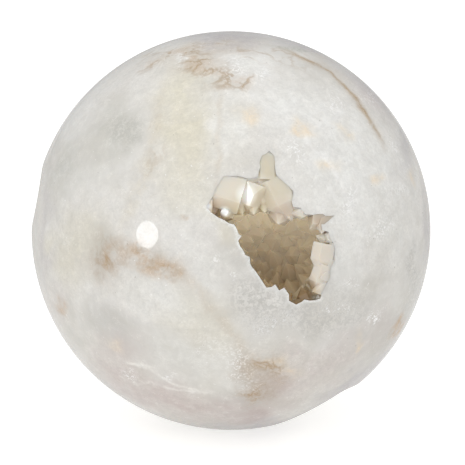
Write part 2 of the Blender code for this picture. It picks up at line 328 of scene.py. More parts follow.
# the stone's colours: each group is one soft mask, painted from named marks. A mark is its pixel in
# the photograph, half width and half height in pixels, turn in degrees, and strength.
marks = {
    "greyCloud": [
        (100, 150, 38, 36, 0, 0.3), (125, 130, 17, 20, 30, 0.65), (66, 180, 16, 26, 15, 0.3),
        (112, 118, 26, 16, -30, 0.3), (106, 322, 34, 18, 20, 0.4), (70, 340, 16, 14, 0, 0.35),
        (292, 50, 18, 5, 14, 0.9), (102, 245, 13, 24, 8, 0.4), (62, 165, 10, 30, 18, 0.3),
    ],
    "warmBand": [
        (185, 115, 30, 60, 0, 0.75), (190, 185, 30, 34, 0, 0.4), (225, 130, 24, 34, 0, 0.25),
        (200, 325, 38, 34, 40, 0.4), (66, 255, 22, 24, 0, 0.6),
        (85, 228, 26, 22, 0, 0.4), (215, 372, 26, 30, 20, 0.2), (222, 226, 9, 24, -42, 0.9),
    ],
    "iron": [
        (152, 60, 16, 5, -28, 0.2), (178, 53, 22, 6, -6, 0.25), (193, 62, 16, 8, 40, 0.4),
        (215, 74, 22, 7, 14, 0.25), (238, 78, 12, 5, 10, 0.4), (108, 254, 3, 10, 10, 0.5),
        (152, 262, 22, 8, 35, 0.6), (172, 273, 12, 7, 25, 0.7), (109, 257, 6, 12, 0, 0.2),
        (132, 250, 14, 9, 30, 0.35), (144, 272, 16, 7, 25, 0.45), (268, 364, 16, 5, 25, 0.5),
        (63, 308, 6, 6, 0, 0.6), (396, 326, 4, 10, 30, 0.7), (183, 218, 3, 3, 0, 0.7),
        (256, 396, 10, 7, 0, 0.5),
    ],
    "filament": [
        (152, 60, 20, 7, -28, 0.8), (178, 53, 24, 8, -6, 0.9), (193, 62, 18, 11, 40, 1.0),
        (215, 74, 24, 10, 14, 0.9), (238, 78, 14, 7, 10, 1.0), (232, 50, 44, 8, 6, 0.7),
        (270, 366, 20, 10, 25, 0.9), (108, 255, 16, 20, 0, 0.6), (150, 262, 26, 12, 35, 0.5),
        (280, 58, 30, 8, 14, 0.5), (155, 150, 8, 40, 6, 0.35), (250, 392, 16, 14, 0, 0.5),
    ],
    "peach": [
        (247, 114, 11, 8, 0, 0.7), (303, 129, 9, 7, 0, 0.8), (345, 131, 8, 6, 0, 0.6),
        (329, 167, 9, 8, 0, 0.7), (377, 180, 9, 6, 0, 0.6), (361, 341, 5, 6, 0, 0.7),
        (112, 344, 10, 8, 0, 0.3), (284, 366, 18, 6, 20, 0.5),
    ],
    "brown": [
        (262, 376, 24, 26, 0, 0.55), (105, 253, 18, 24, 0, 0.55), (165, 264, 26, 12, 28, 0.4),
        (256, 396, 16, 11, 0, 0.8), (230, 44, 40, 12, 0, 0.35), (196, 60, 36, 14, 0, 0.35),
        (238, 370, 10, 26, -15, 0.5), (330, 66, 30, 9, 30, 0.25), (118, 264, 22, 9, 0, 0.45),
    ],
    # the stone's rose tint, but for the mark at (256, 414), which is painted shade near the bottom rim
    "roseAndBottomShade": [
        (120, 372, 34, 22, 30, 0.55), (160, 395, 46, 18, 20, 0.7), (210, 408, 44, 16, 6, 0.7),
        (275, 388, 24, 18, 0, 0.75), (256, 414, 22, 10, 0, 0.9), (295, 360, 20, 14, 0, 0.4),
        (120, 345, 26, 16, 0, 0.45), (330, 365, 44, 20, -36, 0.5), (60, 310, 12, 22, 0, 0.35),
        (385, 330, 20, 24, 0, 0.3), (205, 235, 34, 18, 0, 0.2),
    ],
    # painted reflection and painted shade: nearly all of these lavender marks run along the ball's rim,
    # where the room is mirrored at a grazing angle; the hidden ones below are the stone's own tint
    "lavenderAndRimReflection": [
        (228, 36, 44, 9, 0, 0.75), (300, 44, 40, 8, 22, 0.7), (364, 84, 44, 10, 52, 0.4),
        (405, 140, 10, 34, 15, 0.5), (350, 384, 44, 9, -38, 0.7), (255, 425, 60, 8, 0, 0.6),
        (428, 240, 5, 76, 0, 0.5), (388, 358, 8, 34, 42, 0.4), (108, 392, 34, 10, 40, 0.5),
        (110, 320, 26, 20, 20, 0.2), (80, 92, 9, 44, 42, 0.45), (44, 230, 7, 60, 0, 0.4),
    ],
    "coolWhite": [
        (340, 190, 50, 60, 0, 0.6), (398, 232, 20, 40, 0, 0.35), (290, 105, 44, 26, 10, 0.6),
        (225, 100, 26, 16, 0, 0.2), (262, 72, 12, 8, 0, 0.7), (228, 130, 22, 22, 0, 0.6),
        (160, 300, 44, 16, 24, 0.45), (192, 244, 34, 36, 20, 0.45), (343, 268, 14, 34, 0, 0.6),
        (206, 286, 20, 14, 30, 0.4), (200, 366, 26, 22, 0, 0.45), (226, 372, 14, 34, -14, 0.4),
        (60, 215, 16, 50, 10, 0.15), (170, 345, 30, 16, 20, 0.4), (178, 62, 8, 5, 0, 0.8),
        (245, 60, 26, 7, 0, 0.6),
    ],
    # grey mottling, but for the last mark, at (414, 268), which is painted shade on the right rim
    "mottleAndRimShade": [
        (300, 316, 70, 22, 8, 0.7), (250, 296, 26, 20, 40, 0.6), (345, 300, 44, 28, 0, 0.4),
        (235, 255, 14, 22, -30, 0.4), (250, 400, 30, 14, 0, 0.6), (126, 130, 20, 16, 0, 0.45),
        (180, 360, 60, 24, 20, 0.3), (300, 60, 40, 14, 20, 0.25), (414, 268, 9, 36, 0, 0.7),
    ],
    # painted glints: clusters of small cracked facets that catch the light
    "sparkle": [
        (262, 74, 8, 6, 0, 1.0), (370, 97, 9, 8, 40, 0.9), (336, 105, 12, 8, 30, 0.6),
        (297, 152, 10, 10, 0, 0.8), (349, 198, 6, 14, 0, 0.9), (399, 195, 10, 5, 0, 0.7),
        (384, 227, 10, 8, 0, 0.6), (391, 146, 5, 10, 0, 0.5), (367, 240, 7, 5, 0, 0.9),
        (352, 283, 7, 6, 0, 0.7), (378, 316, 8, 8, 40, 1.0), (335, 308, 16, 8, 0, 0.7),
        (274, 320, 24, 10, 0, 0.5), (130, 372, 7, 3, 20, 1.0), (168, 376, 6, 3, 0, 0.9),
        (214, 258, 6, 5, 0, 0.8), (233, 276, 5, 5, 0, 0.8), (236, 66, 8, 5, 0, 0.8),
        (283, 371, 3, 2, 0, 1.0), (238, 368, 12, 26, -14, 0.55), (208, 350, 18, 16, 0, 0.3),
        (178, 62, 6, 4, 0, 0.6),
    ],
}
# the same kinds of mark on the sides that the photograph doesn't show: azimuth, elevation, half width
# and half height in mm, turn and strength
hiddenMarks = {
    "greyCloud": [(150, 20, 20, 13, 0, 0.7), (62, -25, 16, 11, 30, 0.6), (200, -20, 13, 16, 0, 0.5)],
    "warmBand": [(110, 15, 17, 22, 0, 0.7), (185, 35, 14, 10, 0, 0.5), (250, -10, 12, 18, 0, 0.6)],
    "iron": [
        (130, 45, 10, 3, 30, 0.8), (95, -5, 3, 10, 0, 0.7), (212, 10, 9, 3, -40, 0.8),
        (160, -15, 4, 3, 0, 0.5), (250, 25, 3, 8, 20, 0.6), (188, 62, 9, 2, 10, 0.6),
    ],
    "filament": [(130, 42, 12, 6, 30, 0.9), (214, 8, 12, 5, -40, 0.8), (95, -5, 6, 12, 0, 0.6)],
    "peach": [(70, 20, 3, 2, 0, 0.7), (155, 30, 3, 3, 0, 0.7), (225, -15, 3, 2, 0, 0.8)],
    "brown": [(92, -6, 8, 13, 10, 0.6), (170, -35, 16, 9, 0, 0.6), (215, 14, 12, 7, -30, 0.5)],
    "roseAndBottomShade": [(140, -30, 16, 10, 10, 0.6), (240, 40, 12, 9, 0, 0.5), (80, 45, 12, 8, 0, 0.5)],
    "lavenderAndRimReflection": [(120, -40, 14, 9, 0, 0.5), (180, 60, 13, 10, 0, 0.5), (265, -35, 12, 10, 0, 0.5)],
    "coolWhite": [(45, 30, 17, 17, 0, 0.6), (160, -5, 16, 10, 20, 0.6), (280, 40, 12, 12, 0, 0.5)],
    "mottleAndRimShade": [(125, 5, 16, 14, 0, 0.9), (200, 15, 12, 14, 0, 0.8), (255, 0, 12, 12, 0, 0.7)],
    "sparkle": [
        (100, 30, 2, 2, 0, 0.9), (140, 5, 3, 2, 30, 1.0), (175, -20, 2, 3, 0, 0.9),
        (205, 35, 3, 2, 0, 0.8), (235, -5, 2, 2, 0, 1.0), (285, -25, 2, 3, 0, 0.8),
    ],
}
# how a mark fades from its middle, and the noise that makes its edge ragged
markEdge = {
    "fall": 1.1,
    "steepness": 1.4,
    "hiddenSteepness": 1.2,
    "limbFade": 0.25,                # the photograph's marks fade out this far behind the rim, in radii
    "seed": 12,
    "size": 7.0 * mm,
    "reach": 2.6 * mm,
    "fineSize": 2.2 * mm,
    "fineReach": 0.8 * mm,
}


def readPlaces(piece):
    places = np.empty(len(piece.data.vertices) * 3)
    piece.data.vertices.foreach_get("co", places)
    return places.reshape(-1, 3)


def writeMask(piece, name, mask):
    values = piece.data.attributes.new(name, "FLOAT", "POINT").data
    values.foreach_set("value", mask.astype(np.float32))


def paintMarks(piece):
    # one value for each point of the mesh in each group, with the marks' edges made ragged by noise
    places = readPlaces(piece)
    warped = places.copy()
    noise.seed_set(markEdge["seed"])
    for index, place in enumerate(places):
        coarse = noise.noise_vector(Vector(place) / markEdge["size"]) * markEdge["reach"]
        fine = noise.noise_vector(Vector(place) / markEdge["fineSize"]) * markEdge["fineReach"]
        warped[index] += coarse + fine
    offsets = warped - np.array(ballCentre)
    right = offsets @ np.array(frontRight)
    up = offsets @ np.array(frontUp)
    out = offsets @ np.array(frontOut)
    facing = np.clip(out / ballRadius / markEdge["limbFade"] + 1.0, 0.0, 1.0)
    for group in marks:
        mask = np.zeros(len(places))
        for x, y, halfWide, halfHigh, turn, strength in marks[group]:
            markRight, markUp, _ = frontPlace(photoPoint(x, y))
            c, s = math.cos(math.radians(turn)), math.sin(math.radians(turn))
            along = ((right - markRight) * c - (up - markUp) * s) / (halfWide * pixel)
            across = ((right - markRight) * s + (up - markUp) * c) / (halfHigh * pixel)
            fade = (along**2 + across**2) ** markEdge["steepness"]
            spread = np.exp(-markEdge["fall"] * fade) * facing * strength
            mask = 1.0 - (1.0 - mask) * (1.0 - spread)
        for azimuth, elevation, halfWide, halfHigh, turn, strength in hiddenMarks[group]:
            a, e = math.radians(azimuth), math.radians(elevation)
            middle = Vector((math.sin(a) * math.cos(e), -math.cos(a) * math.cos(e), math.sin(e)))
            level = Vector((math.cos(a), math.sin(a), 0.0))
            side = Matrix.Rotation(math.radians(turn), 3, middle) @ level
            over = middle.cross(side)
            away = offsets - np.array(middle) * ballRadius
            along = away @ np.array(side) / (halfWide * mm)
            across = away @ np.array(over) / (halfHigh * mm)
            inward = away @ np.array(middle) / (halfWide * mm)
            fade = (along**2 + across**2 + inward**2) ** markEdge["hiddenSteepness"]
            spread = np.exp(-markEdge["fall"] * fade) * strength
            mask = 1.0 - (1.0 - mask) * (1.0 - spread)
        writeMask(piece, group, mask)


def paintEdge(piece, edge, throat):
    # the polished edge is painted white along its lower side, where it overhangs the hollow, as broken
    # chips and painted light on its shaded wall; along the rest of it a painted glow stands in for light
    # leaving the clear stone
    offsets = readPlaces(piece) - np.array(ballCentre)
    flat = np.stack([offsets @ np.array(frontRight), offsets @ np.array(frontUp)], axis=1)
    depth = ballRadius - np.linalg.norm(offsets, axis=1)
    masks = {"chippedAndLitEdge": np.zeros(len(flat)), "litEdge": np.zeros(len(flat))}
    for index, (outer, inner) in enumerate(zip(edge, throat)):
        overhangs = (outer - inner).length < hollow["overhang"] and (outer - inner).dot(frontUp) < 0.0
        mask = masks["chippedAndLitEdge" if overhangs else "litEdge"]
        start = np.array(frontPlace(outer)[:2])
        side = np.array(frontPlace(edge[(index + 1) % len(edge)])[:2]) - start
        share = np.clip((flat - start) @ side / max(side @ side, 1e-12), 0.0, 1.0)
        away = np.linalg.norm(flat - start - share[:, None] * side, axis=1)
        np.maximum(mask, 1.0 - away / hollow["edgeBandWidth"], out=mask)
    front = offsets @ np.array(frontOut) > 0.5 * ballRadius
    for name, mask in masks.items():
        writeMask(piece, name, mask * np.clip(1.5 - depth / hollow["edgeBandDepth"], 0.0, 1.0) * front)


def addNode(tree, kind, links=None, output=0, **settings):
    # one node with its settings, each socket given a number, a colour or another node's output
    node = tree.nodes.new(kind)
    for name, value in settings.items():
        setattr(node, name, value)
    for socket, source in (links or {}).items():
        if isinstance(source, bpy.types.NodeSocket):
            tree.links.new(source, node.inputs[socket])
        else:
            node.inputs[socket].default_value = source
    return node.outputs[output] if output is not None else node


def newMaterial(name):
    material = bpy.data.materials.new(name)
    material.use_nodes = True
    material.node_tree.nodes.clear()
    return material, partial(addNode, material.node_tree)


quartzIor = 1.544
stoneLook = {
    "dull": "#d6d3cc",               # the quartz itself, where its cloud is thickest and thinnest
    "clear": "#e4e2de",
    "crackWhite": "#f1f0ec",
    "ironLine": "#a68a64",
    "chippedAndLitWhite": "#fcfbf8",
    "edgeLight": 0.5,
    "edgeLightDepth": (0.02 * mm, 0.15 * mm),
    "swirlSize": 9.0 * mm,
    "drift": 6.0 * mm,               # the swirl moves a seam by up to half of this to either side
    "fleckCell": 1.7 * mm,
    "glintWhite": "#ffffff",
    "speck": "#9a8f82",
    "pitDepth": 0.06 * mm,
    "roughness": 0.02,
    "subsurface": 0.3,
    "subsurfaceReach": 3.0 * mm,
    # the stone's noises: size, detail, roughness and distortion
    "noises": {
        "cloud": (14.0 * mm, 4.0, 0.62, 0.6),
        "grain": (3.2 * mm, 6.0, 0.62, 0.4),
        "fine": (0.9 * mm, 5.0, 0.62, 0.8),
        "filament": (3.0 * mm, 8.0, 0.62, 2.4),
        "branch": (7.0 * mm, 5.0, 0.55, 0.5),
        "shard": (0.9 * mm, 3.0, 0.7, 1.2),
    },
    # hair cracks lie where a noise passes its middle value: the noise, how far from that value they
    # reach, their strength and their colour
    "hairs": [("branch", 0.06, 0.62, "ironLine"), ("filament", 0.02, 0.5, "crackWhite")],
    # what each painted mask turns the stone to, the noise that tears it, and how much
    "stains": [
        ("warmBand", "#dad4bf", "cloud", 0.35),
        ("greyCloud", "#b6b6ac", "fine", 0.6),
        # the rose mask also holds painted shade near the bottom rim
        ("roseAndBottomShade", "#c6b8b4", "cloud", 0.4),
        ("brown", "#b3a18e", "grain", 0.55),
        # the lavender mask is painted reflection and shade along the rim, with the stone's own tint on
        # the hidden sides
        ("lavenderAndRimReflection", "#b5b0b4", "grain", 0.3),
        ("coolWhite", "#eaeae7", "grain", 0.25),
        # the mottle mask also holds painted shade on the right rim
        ("mottleAndRimShade", "#c0beb9", "fine", 1.0),
        ("peach", "#e9d8bd", "grain", 0.6),
        ("iron", "#bd9f7c", "grain", 0.7),
    ],
    # healed cracks lie in flat planes, each through three pixels of the photograph: the pixels, width and
    # reach in mm, colour and strength
    "seams": [
        (((250, 43), (345, 87), (377, 131)), 1.5, 22, "#a1845c", 0.9),
        (((250, 43), (345, 87), (377, 131)), 2.8, 22, "#bba98f", 0.5),
        (((176, 276), (226, 322), (248, 398)), 2.0, 27, "#c3b6a4", 0.4),
        (((160, 60), (152, 150), (122, 230)), 2.4, 25, "#c5b99e", 0.3),
        (((217, 60), (218, 140), (216, 210)), 1.4, 20, "#cabfae", 0.4),
        (((105, 352), (165, 375), (215, 397)), 0.8, 15, "#f1efea", 0.7),
        (((95, 372), (160, 386), (230, 395)), 0.8, 16, "#eeebe7", 0.5),
        (((300, 130), (330, 165), (345, 210)), 0.7, 13, "#f5f4f2", 0.5),
    ],
}


def stoneMaterial():
    # polished milky quartz: light enters the clouded stone a few millimetres before it comes back, and
    # the lapped face mirrors the lamps sharply; iron has stained its cracks ochre
    material, add = newMaterial("polishedMilkyQuartz")
    look = stoneLook
    place = add("ShaderNodeTexCoord", output="Object")
    torn = {}
    for name, (size, detail, roughness, distortion) in look["noises"].items():
        torn[name] = add("ShaderNodeTexNoise", {
            "Vector": place, "Scale": 1.0 / size, "Detail": detail, "Roughness": roughness,
            "Distortion": distortion,
        })
    clouded = add("ShaderNodeMapRange", {"Value": torn["cloud"], "From Min": 0.3, "From Max": 0.7})
    colour = add("ShaderNodeMix", {
        "Factor": clouded, 6: linear(look["dull"]), 7: linear(look["clear"]),
    }, 2, data_type="RGBA")
    layers = []                      # each a factor and the colour that it turns the stone to
    for group, tone, tearing, amount in look["stains"]:
        painted = add("ShaderNodeAttribute", None, "Fac", attribute_name=group)
        tear = add("ShaderNodeMapRange", {
            "Value": torn[tearing], "From Min": 0.38, "From Max": 0.6,
            "To Min": 1.0 - amount, "To Max": 1.0 + amount * 0.2,
        }, interpolation_type="SMOOTHSTEP")
        mask = add("ShaderNodeMath", {0: painted, 1: tear}, operation="MULTIPLY", use_clamp=True)
        layers.append((mask, tone))

    # the seams wander a little to either side of their planes
    swirl = add("ShaderNodeTexNoise", {
        "Vector": place, "Scale": 1.0 / look["swirlSize"], "Detail": 5.0, "Roughness": 0.5,
    }, "Color")
    drift = add("ShaderNodeVectorMath", {0: swirl, "Scale": look["drift"]}, operation="SCALE")
    wandered = add("ShaderNodeVectorMath", {0: place, 1: drift}, operation="ADD")
    for through, width, extent, tone, strength in look["seams"]:
        first, second, third = (photoPoint(*pixelPlace) for pixelPlace in through)
        normal = (second - first).cross(third - first).normalized()
        meanDrift = normal.dot(Vector((1, 1, 1))) * look["drift"] / 2.0
        across = add("ShaderNodeVectorMath", {0: wandered, 1: normal}, "Value", operation="DOT_PRODUCT")
        middle = normal.dot(second) + meanDrift
        offset = add("ShaderNodeMath", {0: across, 1: middle}, operation="SUBTRACT")
        distance = add("ShaderNodeMath", {0: offset}, operation="ABSOLUTE")
        line = add("ShaderNodeMapRange", {
            "Value": distance, "From Max": width * mm, "To Min": strength, "To Max": 0.0,
        }, interpolation_type="SMOOTHSTEP")
        away = add("ShaderNodeVectorMath", {0: place, 1: second}, "Value", operation="DISTANCE")
        near = add("ShaderNodeMapRange", {
            "Value": away, "From Min": extent * 0.6 * mm, "From Max": extent * mm,
            "To Min": 1.0, "To Max": 0.0,
        })
        patchy = add("ShaderNodeMapRange", {
            "Value": torn["grain"], "From Min": 0.38, "From Max": 0.6, "To Min": 0.3,
        })
        shown = add("ShaderNodeMath", {0: line, 1: near}, operation="MULTIPLY")
        factor = add("ShaderNodeMath", {0: shown, 1: patchy}, operation="MULTIPLY")
        layers.append((factor, tone))

    # the branching hair cracks are ochre where iron got in, and the finer ones are white
    ironed = add("ShaderNodeAttribute", None, "Fac", attribute_name="filament")
    cracked = add("ShaderNodeMapRange", {"Value": torn["grain"], "From Min": 0.5, "From Max": 0.62})
    for (name, width, strength, tone), area in zip(look["hairs"], (ironed, cracked)):
        middle = add("ShaderNodeMath", {0: torn[name], 1: 0.5}, operation="SUBTRACT")
        offMiddle = add("ShaderNodeMath", {0: middle}, operation="ABSOLUTE")
        hair = add("ShaderNodeMapRange", {
            "Value": offMiddle, "From Max": width, "To Min": strength, "To Max": 0.0,
        }, interpolation_type="SMOOTHSTEP")
        factor = add("ShaderNodeMath", {0: hair, 1: area}, operation="MULTIPLY")
        layers.append((factor, look[tone]))
    for factor, tone in layers:
        colour = add("ShaderNodeMix", {"Factor": factor, 6: colour, 7: linear(tone)}, 2, data_type="RGBA")

    # the quartz grains are lighter and darker by a few hundredths
    for name, change in (("grain", 0.045), ("fine", 0.07)):
        shade = add("ShaderNodeMapRange", {
            "Value": torn[name], "From Min": 0.3, "From Max": 0.7,
            "To Min": 1.0 - change, "To Max": 1.0 + change,
        })
        colour = add("ShaderNodeVectorMath", {0: colour, "Scale": shade}, operation="SCALE")

    # the edge of the hollow is painted white where it overhangs: broken chips, and painted light on its
    # shaded wall
    chippedAndLit = add("ShaderNodeAttribute", None, "Fac", attribute_name="chippedAndLitEdge")
    uneven = add("ShaderNodeMapRange", {
        "Value": torn["fine"], "From Min": 0.4, "From Max": 0.6, "To Min": 0.35, "To Max": 1.2,
    })
    chippedAndLitHere = add("ShaderNodeMath", {0: chippedAndLit, 1: uneven}, operation="MULTIPLY", use_clamp=True)
    layers = [(chippedAndLitHere, look["chippedAndLitWhite"])]

    # painted glow at the wall of the hollow's mouth, standing in for light that entered the clear stone
    # and leaves it there
    reach = add("ShaderNodeVectorMath", {0: place, 1: ballCentre}, "Value", operation="DISTANCE")
    depth = add("ShaderNodeMath", {0: ballRadius, 1: reach}, operation="SUBTRACT")
    below = add("ShaderNodeMapRange", {
        "Value": depth, "From Min": look["edgeLightDepth"][0], "From Max": look["edgeLightDepth"][1],
        "To Max": look["edgeLight"],
    })
    wall = add("ShaderNodeAttribute", None, "Fac", attribute_name="litEdge")
    edgeLight = add("ShaderNodeMath", {0: below, 1: wall}, operation="MULTIPLY")

    # white flecks, dark specks and pits about 0.3 mm across, and clusters of bright cracked facets: the
    # white flecks and the clusters are painted glints
    cells = add("ShaderNodeTexVoronoi", {"Vector": wandered, "Scale": 1.0 / look["fleckCell"]}, None)
    pick = add("ShaderNodeSeparateColor", {"Color": cells.outputs["Color"]}, None)
    spot = add("ShaderNodeMapRange", {
        "Value": cells.outputs["Distance"], "From Min": 0.04, "From Max": 0.13,
        "To Min": 1.0, "To Max": 0.0,
    })
    for channel, rarity, strength, tone in ((0, 0.7, 0.7, "glintWhite"), (1, 0.88, 0.6, "speck")):
        chosen = add("ShaderNodeMath", {0: pick.outputs[channel], 1: rarity}, operation="GREATER_THAN")
        shown = add("ShaderNodeMath", {0: spot, 1: chosen}, operation="MULTIPLY")
        factor = add("ShaderNodeMath", {0: shown, 1: strength}, operation="MULTIPLY")
        layers.append((factor, look[tone]))
    shard = add("ShaderNodeMapRange", {"Value": torn["shard"], "From Min": 0.54, "From Max": 0.58})
    sparkle = add("ShaderNodeAttribute", None, "Fac", attribute_name="sparkle")
    glint = add("ShaderNodeMath", {0: shard, 1: sparkle}, operation="MULTIPLY")
    layers.append((glint, look["glintWhite"]))
    for factor, tone in layers:
        colour = add("ShaderNodeMix", {"Factor": factor, 6: colour, 7: linear(tone)}, 2, data_type="RGBA")
    pitted = add("ShaderNodeMath", {0: pick.outputs[2], 1: 0.45}, operation="GREATER_THAN")
    pits = add("ShaderNodeMath", {0: spot, 1: pitted}, operation="MULTIPLY")
    sunk = add("ShaderNodeMath", {0: 1.0, 1: pits}, operation="SUBTRACT")
    bump = add("ShaderNodeBump", {"Strength": 0.5, "Distance": look["pitDepth"], "Height": sunk})
    shader = add("ShaderNodeBsdfPrincipled", {
        "Base Color": colour, "Roughness": look["roughness"], "IOR": quartzIor,
        "Subsurface Weight": look["subsurface"], "Subsurface Radius": (1.0, 0.88, 0.76),
        "Subsurface Scale": look["subsurfaceReach"], "Normal": bump,
        "Emission Color": linear(look["clear"]), "Emission Strength": edgeLight,
    })
    add("ShaderNodeOutputMaterial", {"Surface": shader}, None)
    return material


footLook = {
    "dark": "#cbc6bb",
    "light": "#e4e1da",
    "gritSize": 0.9 * mm,
    "gritHeight": 0.05 * mm,
    "roughness": 0.62,
}


def footMaterial():
    # the same quartz, ground flat but not polished: matt and a little chalky
    material, add = newMaterial("groundQuartz")
    look = footLook
    place = add("ShaderNodeTexCoord", output="Object")
    grit = add("ShaderNodeTexNoise", {"Vector": place, "Scale": 1.0 / look["gritSize"], "Detail": 4.0})
    colour = add("ShaderNodeMix", {
        "Factor": grit, 6: linear(look["dark"]), 7: linear(look["light"]),
    }, 2, data_type="RGBA")
    bump = add("ShaderNodeBump", {"Strength": 0.5, "Distance": look["gritHeight"], "Height": grit})
    shader = add("ShaderNodeBsdfPrincipled", {
        "Base Color": colour, "Roughness": look["roughness"], "IOR": quartzIor, "Normal": bump,
    })
    add("ShaderNodeOutputMaterial", {"Surface": shader}, None)
    return material


# crystals of the crust, six-sided and pointed as quartz grows; sizes in mm
crystals = {
    "spacing": 3.3,
    "radius": (2.2, 4.0),
    "shaft": (0.0, 1.2),
    "point": 1.1,                    # height of the point over its radius, for quartz's own angle
    "root": 1.6,
    "lean": 30.0,
    "rimScale": 0.62,
    "rimReach": 12.0,
    "flatten": (0.72, 1.0),
    "bareDepth": 5.2,                # no crystal grows above this depth where the edge overhangs
    "clearedDepth": 7.5,             # nor above this one where crystals are placed
    "rimMargin": 0.5,                # nor this near to the polished face
    "taper": 1.04,
    "offMiddle": 0.3,                # of a crystal's radius, for its point
    "placedFlatten": 0.9,
    "tries": 9000,
    "seed": 4,
    # crystals placed as the photograph shows them: pixel, depth, aim (right, up, out), radius and shaft.
    # The scattered ones keep out of the cleared discs, each a pixel and a radius in pixels.
    "placed": [
        ((280, 211), 5.2, (-0.10, -0.60, 0.79), 3.8, 1.6),
        ((292, 210), 4.0, (-0.25, -0.60, 0.76), 2.6, 0.8),
        ((252, 204), 5.0, (0.10, -0.62, 0.78), 3.0, 1.2),
        ((238, 205), 4.6, (0.30, -0.60, 0.74), 2.8, 1.0),
        ((265, 203), 4.8, (-0.05, -0.60, 0.79), 2.8, 1.0),
        ((327, 238), 3.0, (-0.80, 0.15, 0.58), 2.3, 1.2),
    ],
    "cleared": [(232, 190, 24), (256, 190, 20), (276, 190, 22), (268, 166, 16)],
    # crystals lying just under the face: pixel, depth, direction on the photograph, tilt (right, up),
    # radius, length and thickness over width. Each has a side flush with the ball but for its tilt, or
    # one that mirrors the key lamp where no tilt is given, so that it shines white.
    "lying": [
        ((227, 188), 0.02, (-30, -9), (0.02, -0.05), 5.4, 8.6, 0.4),
        ((266, 189), 1.5, (3, 20), (0.06, -0.14), 3.0, 6.5, 0.6),
        ((258, 182), 2.0, (14, 3), (0.04, -0.14), 2.6, 5.0, 0.6),
        ((280, 190), 0.08, (9, 20), (-0.04, -0.07), 4.6, 7.0, 0.5),
        ((288, 202), 1.0, (2, 18), (-0.12, -0.16), 2.6, 3.4, 0.7),
        ((268, 168), 0.1, (1, -16), (0.04, -0.05), 3.4, 6.0, 0.5),
        ((321, 219), 0.3, (14, 1), (-0.06, -0.10), 2.8, 4.6, 0.6),
        ((327, 253), 0.2, (-4, 18), (-0.08, 0.02), 3.6, 4.5, 0.5),
        ((325, 275), 0.25, (-6, 18), (-0.12, -0.04), 3.2, 5.0, 0.5),
        ((248.5, 193.5), 0.8, (-10, 22), None, 3.0, 5.8, 1.0),
        ((224.5, 212), 1.7, (-4, 6), None, 1.9, 1.6, 1.0),
        ((208.5, 206.5), 0.5, (-3, 3), None, 0.8, 0.6, 1.0),
    ],
}


def addCrystal(bm, base, aim, radius, shaft, spin, flatten=1.0, aside=(0.0, 0.0)):
    # a hexagonal prism whose end face is raised to a point off its middle
    aim = aim.normalized()
    turn = Matrix.Translation(base) @ aim.to_track_quat("Z", "Y").to_matrix().to_4x4()
    shape = turn @ Matrix.Rotation(spin, 4, "Z") @ Matrix.Diagonal((flatten, 1.0, 1.0, 1.0))
    made = bmesh.ops.create_cone(
        bm, cap_ends=True, segments=6, depth=shaft, radius1=radius * crystals["taper"], radius2=radius,
        matrix=shape @ Matrix.Translation((0.0, 0.0, shaft / 2.0)),
    )
    faces = {face for vert in made["verts"] for face in vert.link_faces}
    top = max(faces, key=lambda face: (face.calc_center_median() - base).dot(aim))
    peak = bmesh.ops.poke(bm, faces=[top])["verts"][0]
    lean = shape.to_3x3() @ Vector((aside[0], aside[1], 0.0)) * radius
    peak.co += aim * crystals["point"] * radius + lean


def wallPoints(wall, chance, edge, throat):
    # points on the throat's wall, no two nearer than the crystals' spacing
    narrow = [(outer - inner).length < hollow["overhang"] for outer, inner in zip(edge, throat)]
    wall.normal_update()
    faces = [face for face in wall.faces if face.calc_area() > 0.0]
    faces.sort(key=lambda face: face.calc_center_median().to_tuple(7))     # the same order in every run
    areas = [face.calc_area() for face in faces]
    chosen = []
    for face in chance.choices(faces, weights=areas, k=crystals["tries"]):
        a, b, c = sorted((vert.co for vert in face.verts), key=lambda corner: corner.to_tuple(7))
        u, v = sorted((chance.random(), chance.random()))
        place = a * u + b * (v - u) + c * (1.0 - v)
        if (place - ballCentre).length > ballRadius - crystals["rimMargin"] * mm:
            continue
        depth = ballRadius - (place - ballCentre).length
        nearest = min(range(len(throat)), key=lambda index: (throat[index] - place).length_squared)
        cleared = any(
            (place - photoPoint(x, y, depth)).length < disc * pixel for x, y, disc in crystals["cleared"]
        )
        bare = crystals["clearedDepth"] if cleared else 0.0
        if depth < (crystals["bareDepth"] if narrow[nearest] else bare) * mm:
            continue
        share = depth / (crystals["rimReach"] * mm)
        room = crystals["spacing"] * mm * min(1.0, crystals["rimScale"] + share)
        if all((place - other).length > room for other, _ in chosen):
            chosen.append((place, -face.normal.copy()))
    return chosen


def makeCrystals(wall, edge, throat):
    chance = random.Random(crystals["seed"])
    bm = bmesh.new()
    off = crystals["offMiddle"]
    root = crystals["root"] * mm
    for place, inward in wallPoints(wall, chance, edge, throat):
        lean = Vector((chance.gauss(0, 1), chance.gauss(0, 1), chance.gauss(0, 1))).normalized()
        aim = (inward + lean * math.tan(math.radians(crystals["lean"])) * chance.random()).normalized()
        depth = ballRadius - (place - ballCentre).length
        share = depth / (crystals["rimReach"] * mm)
        scale = mm * min(1.0, crystals["rimScale"] + (1.0 - crystals["rimScale"]) * share)
        addCrystal(
            bm, place - aim * root, aim, chance.uniform(*crystals["radius"]) * scale,
            root + chance.uniform(*crystals["shaft"]) * scale, chance.uniform(0.0, math.pi / 3.0),
            chance.uniform(*crystals["flatten"]),
            (chance.uniform(-off, off), chance.uniform(-off, off)),
        )
    for at, depth, toward, radius, shaft in crystals["placed"]:
        aim = frontVector(*toward).normalized()
        base = photoPoint(*at, depth * mm) - aim * crystals["root"] * mm
        spin = chance.uniform(0.0, math.pi / 3.0)
        shaft = (crystals["root"] + shaft) * mm
        addCrystal(bm, base, aim, radius * mm, shaft, spin, crystals["placedFlatten"])
    return bm


